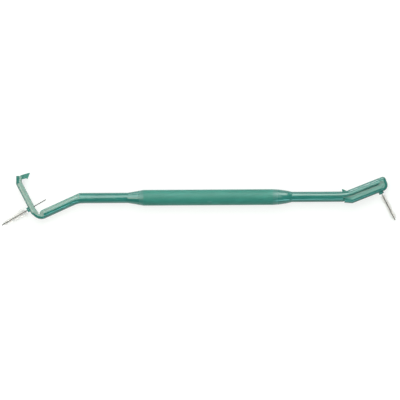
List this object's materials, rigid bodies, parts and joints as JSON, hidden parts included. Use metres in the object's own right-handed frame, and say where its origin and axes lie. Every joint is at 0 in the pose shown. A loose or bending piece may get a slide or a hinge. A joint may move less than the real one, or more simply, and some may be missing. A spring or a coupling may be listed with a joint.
{
  "type": "interdental brush",
  "caption": "Double-ended interdental brush: round grip, bent necks and strap-hinged latches that clamp twisted-wire brushes, tapered and cylindrical.",
  "frame": {"origin": "middle of the round grip, on its axis", "axes": "+X along the grip from the tapered brush's end to the cylindrical brush's end; +Y in the plane in which the necks bend, to the side that the cylindrical end's neck rises to; +Z square to that plane, parallel to both hinge axes"},
  "size_m": [0.1934, 0.0259, 0.0076],
  "materials": {
    "teal_plastic": "glossy translucent teal-green polypropylene, satin on the grip",
    "steel_wire": "bright drawn stainless steel wire",
    "nylon_filament": "clear white nylon filament"
  },
  "bodies": {
    "handle": {"handle": "teal_plastic", "tapered_end_hinge": "teal_plastic", "cylindrical_end_hinge": "teal_plastic"},
    "tapered_latch": {"tapered_end_latch": "teal_plastic"},
    "tapered_brush": {"tapered_brush_wire": "steel_wire", "tapered_brush_bristles": "nylon_filament"},
    "tapered_tail": {"tapered_brush_tail": "steel_wire"},
    "cylindrical_latch": {"cylindrical_end_latch": "teal_plastic", "cylindrical_brush_wire": "steel_wire", "cylindrical_brush_bristles": "nylon_filament"}
  },
  "joints": [
    {"name": "tapered_latch_hinge", "type": "hinge", "parent": "handle", "child": "tapered_latch", "pos_m": [-0.08294, -0.00753, 0], "axis": [0, 0, 1], "range_deg": [-92.7, 0], "deforming": ["tapered_end_hinge"]},
    {"name": "tapered_brush_pull", "type": "slide", "parent": "tapered_latch", "child": "tapered_brush", "axis": [-0.8669, -0.4985, 0], "range_m": [0, 0.012]},
    {"name": "tapered_tail_fold", "type": "hinge", "parent": "tapered_brush", "child": "tapered_tail", "pos_m": [-0.08616, -0.00434, 0], "axis": [0, 0, 1], "range_deg": [0, 87.1]},
    {"name": "cylindrical_latch_hinge", "type": "hinge", "parent": "handle", "child": "cylindrical_latch", "pos_m": [0.0862, 0.00658, 0], "axis": [0, 0, 1], "range_deg": [0, 92.7], "deforming": ["cylindrical_end_hinge"]}
  ],
  "couplings": [
    {"joint": "tapered_tail_fold", "follows": "tapered_latch_hinge", "ratio": -0.9385}
  ]
}
